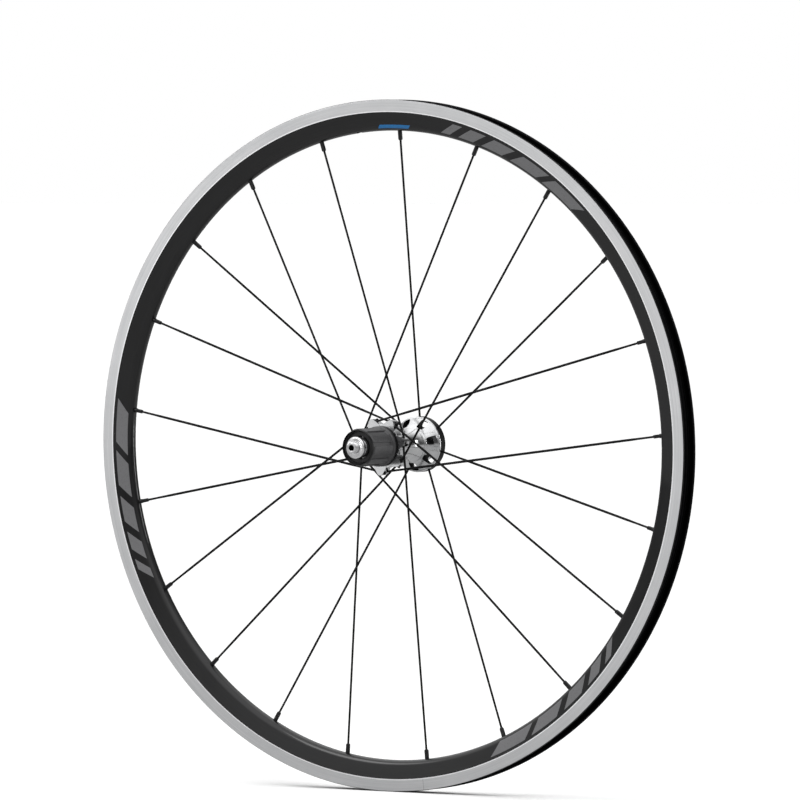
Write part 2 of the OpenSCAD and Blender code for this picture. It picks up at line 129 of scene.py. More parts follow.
def grid(rows, loop, caps=False):
    """Faces between rings of the same number of points, each ring closed."""
    n = len(rows[0])
    verts = [p for row in rows for p in row]
    faces = []
    count = len(rows) if loop else len(rows) - 1
    for i in range(count):
        a, b = i * n, ((i + 1) % len(rows)) * n
        faces += [(a + k, a + (k + 1) % n, b + (k + 1) % n, b + k) for k in range(n)]
    if caps:
        faces += [tuple(range(n)), tuple(range(len(verts) - n, len(verts)))]
    return verts, faces


def ring_points(r, y, n):
    return [(r * math.cos(TAU * k / n), y, r * math.sin(TAU * k / n)) for k in range(n)]


def soft(points, steps=4):
    """A closed outline with each corner (u, v, setback) rounded off."""
    out = []
    for i, (u, v, cut) in enumerate(points):
        p = Vector((u, v))
        if not cut:
            out.append((u, v))
            continue
        a = Vector(points[i - 1][:2]) - p
        b = Vector(points[(i + 1) % len(points)][:2]) - p
        s = p + a.normalized() * min(cut, a.length * 0.45)
        e = p + b.normalized() * min(cut, b.length * 0.45)
        for k in range(steps + 1):
            t = k / steps
            q = s * (1 - t) ** 2 + p * (2 * t * (1 - t)) + e * t * t
            out.append((q.x, q.y))
    return out


def lathe(name, outline, n, mat, sharp=38.0):
    """A closed outline of (radius, y) turned about the axle."""
    return make(name, *grid([ring_points(r, y, n) for r, y in outline], True), mat, sharp)


def prism(name, outline, y0, y1, mat):
    """A closed outline of (x, z) from y0 to y1."""
    return make(name, *grid([[(x, y, z) for x, z in outline] for y in (y0, y1)], False, True), mat)


def turn(v, degrees):
    """A point turned about the axle."""
    a = math.radians(degrees)
    x, y, z = v
    return Vector((x * math.cos(a) - z * math.sin(a), y, x * math.sin(a) + z * math.cos(a)))


def spoke_axes(p, q):
    """Two directions across the line from p to q, and the one along it."""
    z = (q - p).normalized()
    x = Vector((0, 1, 0)).cross(z).normalized()
    return x, z.cross(x), z


def tube(p, q, sections, n):
    """Rings round the line from p to q: each section is (distance, function of angle -> (u, v))."""
    x, y, z = spoke_axes(p, q)
    return [
        [tuple(p + z * d + x * shape(TAU * k / n)[0] + y * shape(TAU * k / n)[1]) for k in range(n)]
        for d, shape in sections
    ]


def oval(a, b):
    """A section for tube()."""
    return lambda t: (a * math.cos(t), b * math.sin(t))


def joined(name, parts, mat):
    """One object from several lists of (verts, faces)."""
    verts, faces = [], []
    for vs, fs in parts:
        base = len(verts)
        verts += vs
        faces += [tuple(base + i for i in f) for f in fs]
    return make(name, verts, faces, mat)


def combine(obj, tool, operation, crossing=False):
    """Cuts tool out of obj, or adds it, and removes tool."""
    mod = obj.modifiers.new("combine", "BOOLEAN")
    mod.operation = operation
    mod.solver = "EXACT"
    mod.use_self = crossing
    mod.object = tool
    depsgraph = bpy.context.evaluated_depsgraph_get()
    mesh = bpy.data.meshes.new_from_object(obj.evaluated_get(depsgraph))
    old = obj.data
    obj.modifiers.clear()
    obj.data = mesh
    bpy.data.meshes.remove(old)
    bpy.data.objects.remove(tool)
    clean(obj)


def rod(p, q, r, n=28):
    """A plain cylinder from p to q, to cut with."""
    length = (q - p).length
    return grid(tube(p, q, [(0, oval(r, r)), (length, oval(r, r))], n), False, True)


def smooth_step(t):
    t = min(max(t, 0.0), 1.0)
    return t * t * (3 - 2 * t)


# --- materials ---------------------------------------------------------------

class Finish:
    """A Principled material, with short names for the nodes that feed it.

    point is the place on the piece in millimetres, y its height along the axle, r its distance
    from the axle, and angle its direction round the axle in radians.
    """

    def __init__(self, name, metallic=0.0, specular=0.5, coat=0.0, coat_roughness=0.1, aniso=0.0):
        self.mat = bpy.data.materials.new(name)
        self.mat.use_nodes = True
        self.tree = self.mat.node_tree
        self.bsdf = self.tree.nodes["Principled BSDF"]
        self.bsdf.inputs["Metallic"].default_value = metallic
        self.bsdf.inputs["Specular IOR Level"].default_value = specular
        self.bsdf.inputs["Coat Weight"].default_value = coat
        self.bsdf.inputs["Coat Roughness"].default_value = coat_roughness
        self.bsdf.inputs["Anisotropic"].default_value = aniso
        coords = self.tree.nodes.new("ShaderNodeTexCoord")
        scaled = self.tree.nodes.new("ShaderNodeVectorMath")
        scaled.operation = "SCALE"
        scaled.inputs["Scale"].default_value = 1000.0
        self.tree.links.new(coords.outputs["Object"], scaled.inputs[0])
        self.point = scaled.outputs[0]
        split = self.tree.nodes.new("ShaderNodeSeparateXYZ")
        self.tree.links.new(self.point, split.inputs[0])
        x, self.y, z = split.outputs
        self.r = self.math("SQRT", self.math("ADD", self.times(x, x), self.times(z, z)))
        self.angle = self.math("ARCTAN2", z, x)

    def feed(self, socket, value):
        if isinstance(value, bpy.types.NodeSocket):
            self.tree.links.new(value, socket)
        else:
            socket.default_value = value

    def math(self, operation, *values):
        node = self.tree.nodes.new("ShaderNodeMath")
        node.operation = operation
        for socket, value in zip(node.inputs, values):
            self.feed(socket, value)
        return node.outputs[0]

    def times(self, a, b):
        return self.math("MULTIPLY", a, b)

    def weigh(self, a, b, share):
        """share of a, and the rest of b."""
        return self.math("ADD", self.times(a, share), self.times(b, 1 - share))

    def above(self, value, limit):
        return self.math("GREATER_THAN", value, limit)

    def below(self, value, limit):
        return self.math("LESS_THAN", value, limit)

    def near(self, value, middle, reach):
        return self.math("COMPARE", value, middle, reach)

    def vector(self, x, y, z):
        node = self.tree.nodes.new("ShaderNodeCombineXYZ")
        for socket, value in zip(node.inputs, (x, y, z)):
            self.feed(socket, value)
        return node.outputs[0]

    def noise(self, vector, scale, detail=3.0):
        node = self.tree.nodes.new("ShaderNodeTexNoise")
        self.feed(node.inputs["Vector"], vector)
        node.inputs["Scale"].default_value = scale
        node.inputs["Detail"].default_value = detail
        node.inputs["Roughness"].default_value = 0.55
        return node.outputs["Fac"]

    def ring_noise(self, per_r, per_y, per_radian, detail=2.0):
        """Noise drawn out round the axle."""
        vector = self.vector(self.times(self.r, per_r), self.times(self.y, per_y),
                             self.times(self.angle, per_radian))
        return self.noise(vector, 1.0, detail)

    def spread(self, value, low, high, from_low=0.3, from_high=0.7):
        """value, moved from one range to another and held inside it."""
        node = self.tree.nodes.new("ShaderNodeMapRange")
        for socket, number in zip(node.inputs, (value, from_low, from_high, low, high)):
            self.feed(socket, number)
        return node.outputs[0]

    def mix(self, share, a, b):
        node = self.tree.nodes.new("ShaderNodeMix")
        node.data_type = "RGBA"
        self.feed(node.inputs["Factor"], share)
        self.feed(node.inputs["A"], a if isinstance(a, bpy.types.NodeSocket) else (*a, 1.0))
        self.feed(node.inputs["B"], b if isinstance(b, bpy.types.NodeSocket) else (*b, 1.0))
        return node.outputs["Result"]

    def bump(self, height, depth_mm, after=None):
        node = self.tree.nodes.new("ShaderNodeBump")
        node.inputs["Strength"].default_value = 1.0
        node.inputs["Distance"].default_value = depth_mm * MM
        self.feed(node.inputs["Height"], height)
        if after is not None:
            self.feed(node.inputs["Normal"], after)
        return node.outputs[0]

    def done(self, color, roughness, normal=None):
        self.feed(self.bsdf.inputs["Base Color"], color)
        self.feed(self.bsdf.inputs["Roughness"], roughness)
        if normal is not None:
            self.feed(self.bsdf.inputs["Normal"], normal)
        return self.mat


def turned_metal(name, light, dark, rough, line_mm, line_depth, bore=0.0):
    """Metal with fine turning lines round the axle and slight blotches; painted shade inside the bore."""
    f = Finish(name, metallic=1.0)
    marks = f.ring_noise(1 / line_mm, 1 / line_mm, 1.3)
    blotch = f.noise(f.point, 0.16, 4.0)
    fine = f.noise(f.point, 2.4)
    color = f.mix(f.spread(f.weigh(marks, blotch, 0.45), 0.0, 1.0), dark, light)
    # painted shade: everything inside radius bore is mixed to near-black, as shade falls in the hollow
    color = f.mix(f.below(f.r, bore), color, (0.012, 0.012, 0.013))
    roughness = f.spread(f.weigh(blotch, fine, 0.6), rough * 0.825, rough * 1.225)
    return f.done(color, roughness, f.bump(fine, line_depth * 0.5, f.bump(marks, line_depth)))


def polished_hub():
    """Polished alloy, with painted shade in the pockets and in the drive-side bore, and a painted dark
    reflection on the bell's edge.
    """
    f = Finish("hub_polished", metallic=1.0)
    marks = f.ring_noise(3.3, 3.3, 1.1)
    blotch = f.noise(f.point, 0.11, 4.0)
    fine = f.noise(f.point, 2.2)
    color = f.mix(f.spread(f.weigh(marks, blotch, 0.4), 0.0, 1.0), (0.50, 0.505, 0.515), (0.66, 0.665, 0.67))
    along = f.spread(f.y, 0.0, 1.0, FLARE_Y0, FLARE_Y1)
    flare = f.math("ADD", BARREL_R, f.times(FLARE_R - BARREL_R, f.math("POWER", along, FLARE_POWER)))
    under_flare = f.above(f.math("SUBTRACT", flare, f.r), 0.45)
    # painted shade: surfaces lying under the flare, inside the pockets
    pocket_shade = f.times(under_flare, f.near(f.y, 33.0, 11.5))
    # painted shade inside the drive-side bore
    bore = f.times(f.below(f.r, PAWL_RING_R - 0.05), f.below(f.y, -14.0))
    # painted dark reflection on the bell's edge
    edge = f.times(f.above(f.y, 41.6), f.above(f.r, BELL_R - 0.8))
    black = f.math("MAXIMUM", f.math("MAXIMUM", pocket_shade, bore), edge)
    # painted shade and painted dark reflection: near-black wherever a mask is set
    color = f.mix(black, color, (0.018, 0.018, 0.019))
    polish = f.spread(f.weigh(blotch, fine, 0.6), 0.12, 0.22)
    roughness = f.math("MAXIMUM", polish, f.times(black, 0.5))
    return f.done(color, roughness, f.bump(fine, 0.003, f.bump(marks, 0.006)))


def track_and_bed():
    """Machined brake tracks with concentric lines and a painted highlight along their inner edge; black
    anodising on the tyre side.
    """
    f = Finish("rim_machined", metallic=1.0, aniso=0.45)
    tangent = f.tree.nodes.new("ShaderNodeTangent")
    tangent.direction_type = "RADIAL"
    tangent.axis = "Y"
    f.feed(f.bsdf.inputs["Tangent"], tangent.outputs[0])
    machined = f.spread(f.math("ABSOLUTE", f.y), 0.0, 1.0, RIM_HALF - 0.14, RIM_HALF - 0.05)
    lines = f.ring_noise(5.0, 0.0, 3.0, 3.0)
    coarse = f.ring_noise(0.9, 0.0, 2.0)
    cloud = f.noise(f.point, 0.02)
    share = f.math("ADD", f.times(lines, 0.55), f.math("ADD", f.times(coarse, 0.25), f.times(cloud, 0.2)))
    silver = f.mix(f.spread(share, 0.0, 1.0, 0.35, 0.65), (0.56, 0.57, 0.58), (0.80, 0.80, 0.81))
    seam = f.near(f.angle, math.radians(VALVE_A - 180), 0.0006)
    silver = f.mix(f.times(seam, 0.55), silver, (0.10, 0.10, 0.10))
    # painted highlight: a near-white band along the rounded inner corner of each track
    inner_edge_highlight = f.times(machined, f.below(f.r, TRACK_IN_R + 0.95))
    silver = f.mix(inner_edge_highlight, silver, (0.97, 0.97, 0.98))
    dust = f.noise(f.point, 0.35, 4.0)
    black = f.mix(f.spread(dust, 0.0, 1.0), (0.006, 0.006, 0.0065), (0.014, 0.014, 0.015))
    color = f.mix(machined, black, silver)
    polish = f.math("MAXIMUM", f.spread(share, 0.30, 0.46, 0.35, 0.65), f.times(inner_edge_highlight, 0.6))
    satin = f.spread(dust, 0.42, 0.58)
    roughness = f.math("ADD", f.times(polish, machined), f.times(satin, f.math("SUBTRACT", 1.0, machined)))
    return f.done(color, roughness, f.bump(dust, 0.01, f.bump(f.times(lines, machined), 0.012)))


def slanted_bars(f):
    """1 on three groups of five slanted bars on the faces of the rim, with worn paint, else 0."""
    middle_r, half_width, slant = 297.4, 5.3, 1.25
    bars = ((-66.0, 20.0), (-22.0, 16.0), (16.0, 12.0), (46.0, 8.5), (69.0, 5.0))  # middle, half length
    rise = f.times(f.math("SUBTRACT", f.r, middle_r), slant)
    paint = 0.0
    for group in (63.5, 190.5, -50.5):
        away = f.math("WRAP", f.math("SUBTRACT", f.angle, math.radians(group)), math.pi, -math.pi)
        slanted = f.math("ADD", f.times(away, middle_r), rise)
        for middle, half in bars:
            paint = f.math("ADD", paint, f.near(slanted, middle, half))
    on_face = f.times(f.near(f.r, middle_r, half_width), f.above(f.math("ABSOLUTE", f.y), 4.0))
    wear = f.spread(f.noise(f.point, 0.8, 4.0), 0.82, 1.0, 0.3, 0.5)
    return f.times(f.times(paint, on_face), wear)


def top_dash(f):
    """1 on one short dash at the top of the drive-side face, else 0."""
    middle_r, half_width, half_length, slant = 292.4, 1.6, 16.5, 0.8
    along = f.times(f.math("SUBTRACT", f.angle, math.radians(89.1)), middle_r)
    slanted = f.math("ADD", along, f.times(f.math("SUBTRACT", f.r, middle_r), slant))
    dash = f.times(f.near(slanted, 0.0, half_length), f.near(f.r, middle_r, half_width))
    return f.times(dash, f.below(f.y, -2.0))


def carbon_face():
    """Lacquered laminate with faint lengthwise fibres, grey bars and a blue dash."""
    f = Finish("rim_laminate", specular=0.12, coat=0.6, coat_roughness=0.06)
    arc = f.times(f.angle, NOSE_C)
    across = f.math("ADD", f.r, f.times(f.math("ABSOLUTE", f.y), 0.7))
    fibres = f.noise(f.vector(f.times(arc, 0.045), f.times(across, 1.6), 0.0), 1.0, 4.0)
    patches = f.noise(f.vector(f.times(arc, 0.02), f.times(across, 0.06), 0.0), 1.0, 2.0)
    share = f.weigh(fibres, patches, 0.6)
    color = f.mix(f.spread(share, 0.0, 1.0, 0.35, 0.65), (0.0045, 0.0045, 0.005), (0.009, 0.009, 0.0095))
    color = f.mix(slanted_bars(f), color, (0.17, 0.17, 0.175))
    color = f.mix(top_dash(f), color, (0.012, 0.16, 0.42))
    return f.done(color, f.spread(share, 0.36, 0.50, 0.35, 0.65), f.bump(fibres, 0.02))


def coated(name, light, dark, rough, grain_mm, depth_mm, specular=0.5):
    """A painted, anodised or moulded surface: fine grain, slight cloudiness, uneven sheen."""
    f = Finish(name, specular=specular)
    grain = f.noise(f.point, 1 / grain_mm, 4.0)
    share = f.weigh(grain, f.noise(f.point, 0.09), 0.5)
    color = f.mix(f.spread(share, 0.0, 1.0), dark, light)
    return f.done(color, f.spread(share, rough * 0.82, rough * 1.25), f.bump(grain, depth_mm))


def anodised_freehub():
    """Hard-anodised grey with turning lines, rubbed where sprockets bear; painted shade over the nose ring,
    and black at the end by the hub shell.
    """
    f = Finish("freehub_anodised", metallic=0.55)
    lines = f.ring_noise(3.0, 4.0, 0.9)
    share = f.weigh(lines, f.noise(f.point, 0.22, 4.0), 0.45)
    color = f.mix(f.spread(share, 0.0, 1.0), (0.066, 0.066, 0.068), (0.104, 0.104, 0.107))
    on_land = f.spread(f.r, 0.0, 1.0, SPLINE_R - 0.12, SPLINE_R - 0.01)
    rubbed = f.times(on_land, f.spread(f.noise(f.point, 0.9, 5.0), 0.0, 0.30, 0.50, 0.75))
    color = f.mix(f.times(rubbed, f.below(f.y, -27.0)), color, (0.26, 0.26, 0.27))
    # painted shade: near-black over the nose ring, before y -58.3; also near-black past y -24.3, by the hub
    # shell
    nose_shade_and_shell_end = f.math("MAXIMUM", f.spread(f.y, 1.0, 0.0, -58.3, -57.7), f.above(f.y, -24.3))
    color = f.mix(nose_shade_and_shell_end, color, (0.008, 0.008, 0.0085))
    return f.done(color, f.spread(share, 0.38, 0.56), f.bump(lines, 0.01))


def grey(tone, blue=0.0):
    return tone, tone, tone + blue


RIM = track_and_bed()
CARBON = carbon_face()
HUB = polished_hub()
FREEHUB = anodised_freehub()
SPOKE = coated("spoke_coating", grey(0.0045, 0.0005), grey(0.0025, 0.0002), 0.45, 0.35, 0.006, 0.16)
NIPPLE = coated("nipple_anodised", grey(0.008, 0.001), grey(0.004, 0.0005), 0.36, 0.3, 0.006, 0.28)
CAP = coated("cap_moulded", grey(0.030, 0.001), grey(0.020, 0.001), 0.45, 0.5, 0.02)
RUBBER = coated("seal_moulded_rubber", grey(0.022), grey(0.012), 0.62, 0.4, 0.03, 0.3)
LOCKNUT = turned_metal("nut_satin", grey(0.80, 0.01), grey(0.64, 0.01), 0.22, 0.20, 0.010)
BEARING = turned_metal("bearing_ground", grey(0.62, 0.01), grey(0.48, 0.01), 0.22, 0.22, 0.006)
BALL = turned_metal("ball_polished", grey(0.82, 0.01), grey(0.74, 0.01), 0.08, 1.5, 0.001)
# bore gives the skewer bore painted shade
AXLE = turned_metal("axle_steel_bright", grey(0.72, 0.01), grey(0.56, 0.01), 0.28, 0.18, 0.008,
                    bore=SKEWER_R + 0.16)
BLACKENED = turned_metal("steel_blackened", grey(0.16, 0.01), grey(0.09, 0.005), 0.36, 0.25, 0.010)
SPRING = turned_metal("spring_temper", (0.50, 0.47, 0.42), (0.36, 0.34, 0.31), 0.25, 0.25, 0.004)

# CAD nodes that keep their own mesh
KEPT = (
    (BEARING, ("nondrive_cup", "drive_cup", "drive_cone", "nondrive_cone", "pawl_upper", "pawl_lower")),
    (CAP, ("nondrive_dust_cap", "drive_dust_cap")),
    (RUBBER, ("freehub_seal", "drive_seal", "nondrive_seal")),
    (BLACKENED, ("freehub_core", "freehub_bolt", "drive_lock_washer", "nondrive_lock_washer")),
    (BALL, ("freehub_balls_inner", "freehub_balls_outer", "drive_balls", "nondrive_balls")),
    (SPRING, ("pawl_spring_upper", "pawl_spring_lower")),
    (LOCKNUT, ("nondrive_spacer",)),
)
for material, names in KEPT:
    for node_name in names:
        for material_slot in nodes[node_name].material_slots:
            material_slot.material = material


# --- rim ---------------------------------------------------------------------

def nose_outline(nose_r, top_r, steps=26):
    """Half of the section inside the split radius, from the middle of the nose outwards."""
    run = SPLIT_R - NOSE_C
    lean = math.atan2(FAIRING_HALF, run) + math.acos(NOSE_R / math.hypot(run, FAIRING_HALF))
    points = []
    for k in range(steps + 1):
        a = math.pi - (math.pi - lean) * k / steps
        points.append((NOSE_C + nose_r * math.cos(a), nose_r * math.sin(a)))
    points.append((top_r, (nose_r - math.cos(lean) * (top_r - NOSE_C)) / math.sin(lean)))
    return points


def valve_cutter():
    a = math.radians(VALVE_A)
    out = Vector((math.cos(a), 0, math.sin(a)))
    return joined("valve_cutter", [rod(out * 280, out * 320, VALVE_HOLE_R, 40)], RIM)


def rim():
    inner = nose_outline(NOSE_R - FAIRING_T, TRACK_IN_R, 14)
    half = [(r, y, 0) for r, y in inner] + [
        (TRACK_IN_R, RIM_HALF - 0.02, 0.12), (RIM_R - 0.6, RIM_HALF, 0.1),
        (RIM_R - 0.05, RIM_HALF - 0.62, 0.28),
        (RIM_R - 0.05, TYRE_HALF + 0.35, 0.3), (RIM_R - 1.0, TYRE_HALF - 0.3, 0.3),
        (BEAD_R + 3.6, TYRE_HALF - 0.3, 0.4), (BEAD_R + 2.8, TYRE_HALF, 0.4),
        (BEAD_R, TYRE_HALF, 0.5), (BEAD_R, 5.8, 0.6), (WELL_R, 3.6, 1.2),
    ]
    outline = soft(half + [(r, -y, c) for r, y, c in reversed(half)], 3)
    hoop = lathe("rim_hoop_visual", outline, RIM_STEPS, RIM)
    combine(hoop, valve_cutter(), "DIFFERENCE")
    place(weigh_normals(hoop), "wheel", ["rim_hoop"])

    outer = nose_outline(NOSE_R, SPLIT_R, 26)
    lip_r, lip_y = outer.pop()
    outer += [(lip_r - 0.35, lip_y - 0.008), (lip_r - 0.08, lip_y - 0.07), (lip_r, lip_y - 0.25)]
    inside = nose_outline(NOSE_R - FAIRING_T, SPLIT_R, 14)
    shell = [(r, -y) for r, y in reversed(outer)] + outer
    shell += list(reversed(inside)) + [(r, -y) for r, y in inside]
    fairing = lathe("rim_fairing_visual", shell, RIM_STEPS, CARBON, 50.0)
    drills = []
    for p, q, _ in spoke_lines():
        z = (q - p).normalized()
        drills.append(rod(p + z * 0.5, p + z * 13, NIPPLE_HOLE_R, 20))
    combine(fairing, joined("nipple_cutter", drills, RIM), "DIFFERENCE")
    combine(fairing, valve_cutter(), "DIFFERENCE")
    place(weigh_normals(fairing), "wheel", ["rim_fairing"])


# --- spokes ------------------------------------------------------------------

# (angle of the first spoke, which side of the axle it passes, distance to the drive side, name)
DRIVE_SETS = ((TRAILING_A, 1, TRAILING_Y, "trailing"), (LEADING_A, -1, LEADING_Y, "leading"))


def spoke_lines():
    """(end in the rim, start of the head, set) of each spoke."""
    end = Vector((NIPPLE_TOP_R, 0, 0))
    lines = []
    for i in range(SPOKE_SET):
        for first, side, y, name in DRIVE_SETS:
            touch = Vector((TANGENT_R * math.cos(TANGENT_A), -y, side * TANGENT_R * math.sin(TANGENT_A)))
            head = touch + (touch - end).normalized() * 5.8
            a = first + i * SET_A
            lines.append((turn(end, a), turn(head, a), name))
        head_r = BELL_R - 5.6
        head = Vector((head_r, BELL_Y * (NIPPLE_TOP_R - head_r) / (NIPPLE_TOP_R - BELL_R), 0))
        a = NONDRIVE_A + i * SET_A
        lines.append((turn(end, a), turn(head, a), "nondrive"))
    return lines


def blade(share):
    """Section between round, at share 0, and a flat blade with thin edges, at share 1."""
    a, b = 1.0 + 0.15 * share, 1.0 - 0.5 * share
    power = 1.0 - 0.12 * share

    def shape(t):
        c, s = math.cos(t), math.sin(t)
        return a * math.copysign(abs(c) ** power, c), b * math.copysign(abs(s) ** (1 + 0.25 * share), s)

    return shape


def spoke_mesh(p, q):
    """Round ends, a bladed middle and a head at q."""
    length = (q - p).length
    sections = [(7.6, oval(0.8, 0.8)), (7.8, oval(1.0, 1.0))]
    for k in range(7):
        t = k / 6
        sections.append((26 + 14 * t, blade(smooth_step(t))))
    for k in range(1, 6):
        sections.append((40 + (length - 80) * k / 6, blade(1.0)))
    for k in range(7):
        t = k / 6
        sections.append((length - 40 + 14 * t, blade(smooth_step(1 - t))))
    for d, r in ((-3, 1.0), (-0.6, 1.0), (-0.15, 1.12), (0.15, 1.5), (0.35, 1.72), (0.6, 1.8),
                 (1.9, 1.8), (2.2, 1.7), (2.4, 1.45), (2.5, 1.0), (2.5, 0.4)):
        sections.append((length + d, oval(r, r)))
    return grid(tube(p, q, sections, 18), False, True)


def nipple_mesh(p, q):
    """Round collar, four wrench flats, a rounded end and the mouth that the spoke leaves."""
    def squared(r, share):
        def shape(t):
            c, s = math.cos(t), math.sin(t)
            flat = 1.62 / max(abs(c), abs(s))
            k = r * (1 - share) + min(r, flat) * share
            return k * c, k * s
        return shape

    profile = ((0.0, 1.2, 0), (0.0, 2.4, 0), (0.35, 2.85, 0), (1.7, 2.9, 0), (2.2, 2.6, 0), (2.3, 2.0, 0),
               (7.6, 2.0, 0), (8.2, 2.0, 0), (8.45, 2.0, 0.6), (8.6, 2.0, 1), (13.1, 2.0, 1),
               (13.5, 1.95, 1), (14.0, 1.8, 0.8), (14.35, 1.58, 0.3), (14.5, 1.35, 0), (14.5, 1.16, 0),
               (14.3, 1.06, 0), (12.5, 1.06, 0))
    sections = [(d, squared(r, share)) for d, r, share in profile]
    return grid(tube(p, q, sections, 48), False, True)


def spokes_and_nipples():
    for name, node, nipple_node in (
        ("trailing", "drive_spokes_trailing", None),
        ("leading", "drive_spokes_leading", "drive_nipples"),
        ("nondrive", "nondrive_spokes", "nondrive_nipples"),
    ):
        lines = [(p, q) for p, q, kind in spoke_lines() if kind == name]
        obj = joined(node + "_visual", [spoke_mesh(p, q) for p, q in lines], SPOKE)
        place(weigh_normals(obj), "wheel", [node])
        if name == "leading":
            lines = [(p, q) for p, q, kind in spoke_lines() if kind != "nondrive"]
        if nipple_node:
            obj = joined(nipple_node + "_visual", [nipple_mesh(p, q) for p, q in lines], NIPPLE)
            place(weigh_normals(obj), "wheel", [nipple_node])


# --- hub shell ---------------------------------------------------------------

def shell_outline():
    steps = 34
    points = [(19.6, -13.3, 0.0), (15.6, -13.3, 1.2), (13.1, -10.3, 2.0), (BARREL_R, -6.3, 2.0)]
    for k in range(steps + 1):
        t = k / steps
        y = FLARE_Y0 + (FLARE_Y1 - FLARE_Y0) * t
        r = BARREL_R + (FLARE_R - BARREL_R) * t ** FLARE_POWER
        groove = 0.35 * math.exp(-((y - 28.2) / 0.55) ** 2)
        points.append((r - groove, y, 0.0))
    points += [
        (BELL_R, 39.6, 0.9), (BELL_R, 41.0, 0.2), (BELL_R - 0.35, 41.3, 0.15), (BELL_R - 0.35, 41.9, 0.15),
        (BELL_R, 42.2, 0.2), (BELL_R, 48.4, 0.5), (BELL_R - 1, 49.4, 0.5), (BELL_R - 4.1, 49.4, 0.6),
        (BELL_R - 4.1, 42, 0.8), (CUP_R + 1.6, 40.5, 0.8), (CUP_R + 1.6, 51, 0.35), (CUP_R, 51, 0.2),
        (CUP_R, 41.2, 0), (9.5, 41.2, 0), (9.5, -6, 0), (7.9, -8, 0), (7.9, -14, 0), (10.5, -14, 0),
        (10.5, -19, 0), (PAWL_RING_R, -19, 0), (PAWL_RING_R, SHELL_Y, 0.2), (20.6, SHELL_Y, 0.35),
        (20.6, -13.3, 0.5),
    ]
    return soft(points, 4)


def turned_outline(outline, degrees):
    """An outline of (x, z) turned about the axle."""
    turned = [turn((u, 0, v), degrees) for u, v in outline]
    return [(p.x, p.z) for p in turned]


def lobe_outline(a):
    points = [(14.5, -6.4, 0), (19.2, -6.9, 2.6), (26.2, -2.4, 1.6), (27.0, 0, 1.2),
              (26.2, 2.4, 1.6), (19.2, 6.9, 2.6), (14.5, 6.4, 0)]
    return turned_outline(soft(points, 6), a)


# (y, how far the outline draws in) along a lobe, whose edges are rounded off
LOBE_ROWS = ((-21.8, 0.05), (-21.72, 0.006), (-21.55, 0.018), (-20.9, 0.0),
             (-14.2, 0.0), (-13.6, 0.012), (-13.3, 0.045))


def lobes():
    parts = []
    for i in range(SPOKE_SET):
        outline = lobe_outline(LOBE_A + i * SET_A)
        mid = turn((20.0, 0, 0), LOBE_A + i * SET_A)
        rows = []
        for y, inset in LOBE_ROWS:
            rows.append([(x + (mid.x - x) * inset, y, z + (mid.z - z) * inset) for x, z in outline])
        parts.append(grid(rows, False, True))
    return joined("lobes", parts, HUB)


def pocket_outline():
    return soft([(16.9, -3.3, 1.8), (16.9, 3.3, 1.8), (23.0, 4.4, 1.6),
                 (24.2, 2.6, 1.2), (24.2, -2.6, 1.2), (23.0, -4.4, 1.6)], 5)


def hub_shell():
    shell = lathe("hub_shell_visual", shell_outline(), SHELL_STEPS, HUB)
    combine(shell, lobes(), "UNION")
    cutters = []
    for p, q, kind in spoke_lines():
        z = (q - p).normalized()
        cutters.append(rod(q - z * 14, q + z * 2, SPOKE_HOLE_R, 20))
        depth = 2.7 if kind == "nondrive" else 6.0
        cutters.append(rod(q - z * 0.02, q + z * depth, HEAD_HOLE_R, 24))
    combine(shell, joined("spoke_cutters", cutters, HUB), "DIFFERENCE", True)
    pockets = []
    for i in range(SPOKE_SET):
        outline = turned_outline(pocket_outline(), POCKET_A + i * SET_A)
        pockets.append(grid([[(x, y, z) for x, z in outline] for y in (26.0, 44.0)], False, True))
    combine(shell, joined("pocket_cutters", pockets, HUB), "DIFFERENCE")
    place(weigh_normals(shell), "wheel", ["hub_shell"])


# --- freehub body ------------------------------------------------------------

def groove_half(i):
    """Half the width of groove i. The first is narrower, so that sprockets fit in one position only."""
    return (NARROW_SPLINE_W if i % SPLINES == 0 else SPLINE_W) / 2


def groove_angles():
    """(angle in degrees, radius inside a groove or None on a land) round the body."""
    first, pitch = 10, 360 / SPLINES
    out = []
    for i in range(SPLINES):
        half = groove_half(i)
        shape = [(half + 0.42, SPLINE_R), (half + 0.16, 17.37), (half + 0.02, 17.22), (half, 16.95),
                 (half - 0.02, 16.5), (half - 0.16, 16.28), (half - 0.45, GROOVE_R),
                 (half * 0.45, GROOVE_R), (0.0, GROOVE_R)]
        local = [(-math.degrees(math.asin(t / r if r > t else 1)), r) for t, r in shape]
        local += [(-a, r) for a, r in reversed(local[:-1])]
        centre = first + pitch * i
        out += [(centre + a, r) for a, r in local]
        edge = local[-1][0]
        following = centre + pitch - math.degrees(math.asin((groove_half(i + 1) + 0.42) / SPLINE_R))
        for k in range(1, 5):
            out.append((centre + edge + (following - centre - edge) * k / 5, None))
    return out


